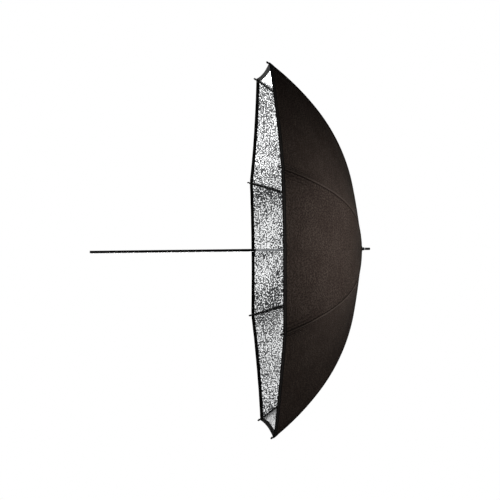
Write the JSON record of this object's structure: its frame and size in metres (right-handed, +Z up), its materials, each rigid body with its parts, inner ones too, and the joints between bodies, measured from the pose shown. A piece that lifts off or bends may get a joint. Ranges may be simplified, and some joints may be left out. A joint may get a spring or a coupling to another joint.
{
  "type": "umbrella reflector",
  "caption": "Folding studio umbrella reflector with a silver lining, black backing, ribbed frame, sliding runner and a plain shaft that a light holder grips.",
  "frame": {"origin": "centre of the shaft's free end, where a light's umbrella holder takes it", "axes": "+X along the shaft towards the crown and ferrule, so the open side of the bowl faces -X; +Z up; the ribs lie at 22.5 degrees from Z and every 45 degrees from there"},
  "size_m": [0.748, 0.9604, 0.9604],
  "materials": {
    "shaft_metal": "black nylon coat on the grip stretch, bright steel beyond it",
    "rib_steel": "black lacquer",
    "bright_steel": "plain",
    "black_plastic": "moulded",
    "canopy_cloth": "black woven cloth outside, silver foil coating inside"
  },
  "bodies": {
    "shaft_assembly": {"shaft": "shaft_metal", "end_plug": "black_plastic", "ferrule": "black_plastic", "canopy_cap": "black_plastic", "crown": "black_plastic", "crown_ring_wire": "bright_steel", "crown_pin": "bright_steel", "stop_pin": "bright_steel", "catch_pin": "bright_steel"},
    "runner_assembly": {"runner": "black_plastic", "runner_ring_wire": "bright_steel"},
    "catch": {"spring_catch": "bright_steel"},
    "rib_arm_1": {"rib_1": "rib_steel", "rib_tip_1": "black_plastic", "stretcher_rivet_1": "bright_steel", "canopy_gore_1": "canopy_cloth"},
    "stretcher_arm_1": {"stretcher_1": "rib_steel"},
    "rib_arm_2": {"rib_2": "rib_steel", "rib_tip_2": "black_plastic", "stretcher_rivet_2": "bright_steel", "canopy_gore_2": "canopy_cloth"},
    "stretcher_arm_2": {"stretcher_2": "rib_steel"},
    "rib_arm_3": {"rib_3": "rib_steel", "rib_tip_3": "black_plastic", "stretcher_rivet_3": "bright_steel", "canopy_gore_3": "canopy_cloth"},
    "stretcher_arm_3": {"stretcher_3": "rib_steel"},
    "rib_arm_4": {"rib_4": "rib_steel", "rib_tip_4": "black_plastic", "stretcher_rivet_4": "bright_steel", "canopy_gore_4": "canopy_cloth"},
    "stretcher_arm_4": {"stretcher_4": "rib_steel"},
    "rib_arm_5": {"rib_5": "rib_steel", "rib_tip_5": "black_plastic", "stretcher_rivet_5": "bright_steel", "canopy_gore_5": "canopy_cloth"},
    "stretcher_arm_5": {"stretcher_5": "rib_steel"},
    "rib_arm_6": {"rib_6": "rib_steel", "rib_tip_6": "black_plastic", "stretcher_rivet_6": "bright_steel", "canopy_gore_6": "canopy_cloth"},
    "stretcher_arm_6": {"stretcher_6": "rib_steel"},
    "rib_arm_7": {"rib_7": "rib_steel", "rib_tip_7": "black_plastic", "stretcher_rivet_7": "bright_steel", "canopy_gore_7": "canopy_cloth"},
    "stretcher_arm_7": {"stretcher_7": "rib_steel"},
    "rib_arm_8": {"rib_8": "rib_steel", "rib_tip_8": "black_plastic", "stretcher_rivet_8": "bright_steel", "canopy_gore_8": "canopy_cloth"},
    "stretcher_arm_8": {"stretcher_8": "rib_steel"}
  },
  "joints": [
    {"name": "runner_slide", "type": "slide", "parent": "shaft_assembly", "child": "runner_assembly", "axis": [-1, 0, 0], "range_m": [0, 0.35575], "deforming": ["spring_catch", "canopy_gore_1", "canopy_gore_2", "canopy_gore_3", "canopy_gore_4", "canopy_gore_5", "canopy_gore_6", "canopy_gore_7", "canopy_gore_8"]},
    {"name": "catch_press", "type": "hinge", "parent": "shaft_assembly", "child": "catch", "pos_m": [0.52204, 0, 0], "axis": [0, 1, 0], "range_deg": [0, 3.3], "stiffness_Nm_per_rad": 2, "springref_deg": -1.72},
    {"name": "rib_fold_1", "type": "hinge", "parent": "shaft_assembly", "child": "rib_arm_1", "pos_m": [0.7199, -0.00287, 0.00693], "axis": [0, -0.9239, -0.3827], "range_deg": [0, 62.57]},
    {"name": "stretcher_fold_1", "type": "hinge", "parent": "rib_arm_1", "child": "stretcher_arm_1", "pos_m": [0.67267, -0.09055, 0.21862], "axis": [0, -0.9239, -0.3827], "range_deg": [-125.14, 0]},
    {"name": "rib_fold_2", "type": "hinge", "parent": "shaft_assembly", "child": "rib_arm_2", "pos_m": [0.7199, -0.00693, 0.00287], "axis": [0, -0.3827, -0.9239], "range_deg": [0, 62.57]},
    {"name": "stretcher_fold_2", "type": "hinge", "parent": "rib_arm_2", "child": "stretcher_arm_2", "pos_m": [0.67267, -0.21862, 0.09055], "axis": [0, -0.3827, -0.9239], "range_deg": [-125.14, 0]},
    {"name": "rib_fold_3", "type": "hinge", "parent": "shaft_assembly", "child": "rib_arm_3", "pos_m": [0.7199, -0.00693, -0.00287], "axis": [0, 0.3827, -0.9239], "range_deg": [0, 62.57]},
    {"name": "stretcher_fold_3", "type": "hinge", "parent": "rib_arm_3", "child": "stretcher_arm_3", "pos_m": [0.67267, -0.21862, -0.09055], "axis": [0, 0.3827, -0.9239], "range_deg": [-125.14, 0]},
    {"name": "rib_fold_4", "type": "hinge", "parent": "shaft_assembly", "child": "rib_arm_4", "pos_m": [0.7199, -0.00287, -0.00693], "axis": [0, 0.9239, -0.3827], "range_deg": [0, 62.57]},
    {"name": "stretcher_fold_4", "type": "hinge", "parent": "rib_arm_4", "child": "stretcher_arm_4", "pos_m": [0.67267, -0.09055, -0.21862], "axis": [0, 0.9239, -0.3827], "range_deg": [-125.14, 0]},
    {"name": "rib_fold_5", "type": "hinge", "parent": "shaft_assembly", "child": "rib_arm_5", "pos_m": [0.7199, 0.00287, -0.00693], "axis": [0, 0.9239, 0.3827], "range_deg": [0, 62.57]},
    {"name": "stretcher_fold_5", "type": "hinge", "parent": "rib_arm_5", "child": "stretcher_arm_5", "pos_m": [0.67267, 0.09055, -0.21862], "axis": [0, 0.9239, 0.3827], "range_deg": [-125.14, 0]},
    {"name": "rib_fold_6", "type": "hinge", "parent": "shaft_assembly", "child": "rib_arm_6", "pos_m": [0.7199, 0.00693, -0.00287], "axis": [0, 0.3827, 0.9239], "range_deg": [0, 62.57]},
    {"name": "stretcher_fold_6", "type": "hinge", "parent": "rib_arm_6", "child": "stretcher_arm_6", "pos_m": [0.67267, 0.21862, -0.09055], "axis": [0, 0.3827, 0.9239], "range_deg": [-125.14, 0]},
    {"name": "rib_fold_7", "type": "hinge", "parent": "shaft_assembly", "child": "rib_arm_7", "pos_m": [0.7199, 0.00693, 0.00287], "axis": [0, -0.3827, 0.9239], "range_deg": [0, 62.57]},
    {"name": "stretcher_fold_7", "type": "hinge", "parent": "rib_arm_7", "child": "stretcher_arm_7", "pos_m": [0.67267, 0.21862, 0.09055], "axis": [0, -0.3827, 0.9239], "range_deg": [-125.14, 0]},
    {"name": "rib_fold_8", "type": "hinge", "parent": "shaft_assembly", "child": "rib_arm_8", "pos_m": [0.7199, 0.00287, 0.00693], "axis": [0, -0.9239, 0.3827], "range_deg": [0, 62.57]},
    {"name": "stretcher_fold_8", "type": "hinge", "parent": "rib_arm_8", "child": "stretcher_arm_8", "pos_m": [0.67267, 0.09055, 0.21862], "axis": [0, -0.9239, 0.3827], "range_deg": [-125.14, 0]}
  ],
  "couplings": [
    {"joint": "rib_fold_1", "follows": "runner_slide", "rad_per_m": 3.0688},
    {"joint": "stretcher_fold_1", "follows": "runner_slide", "rad_per_m": -6.1376},
    {"joint": "rib_fold_2", "follows": "runner_slide", "rad_per_m": 3.0688},
    {"joint": "stretcher_fold_2", "follows": "runner_slide", "rad_per_m": -6.1376},
    {"joint": "rib_fold_3", "follows": "runner_slide", "rad_per_m": 3.0688},
    {"joint": "stretcher_fold_3", "follows": "runner_slide", "rad_per_m": -6.1376},
    {"joint": "rib_fold_4", "follows": "runner_slide", "rad_per_m": 3.0688},
    {"joint": "stretcher_fold_4", "follows": "runner_slide", "rad_per_m": -6.1376},
    {"joint": "rib_fold_5", "follows": "runner_slide", "rad_per_m": 3.0688},
    {"joint": "stretcher_fold_5", "follows": "runner_slide", "rad_per_m": -6.1376},
    {"joint": "rib_fold_6", "follows": "runner_slide", "rad_per_m": 3.0688},
    {"joint": "stretcher_fold_6", "follows": "runner_slide", "rad_per_m": -6.1376},
    {"joint": "rib_fold_7", "follows": "runner_slide", "rad_per_m": 3.0688},
    {"joint": "stretcher_fold_7", "follows": "runner_slide", "rad_per_m": -6.1376},
    {"joint": "rib_fold_8", "follows": "runner_slide", "rad_per_m": 3.0688},
    {"joint": "stretcher_fold_8", "follows": "runner_slide", "rad_per_m": -6.1376}
  ]
}
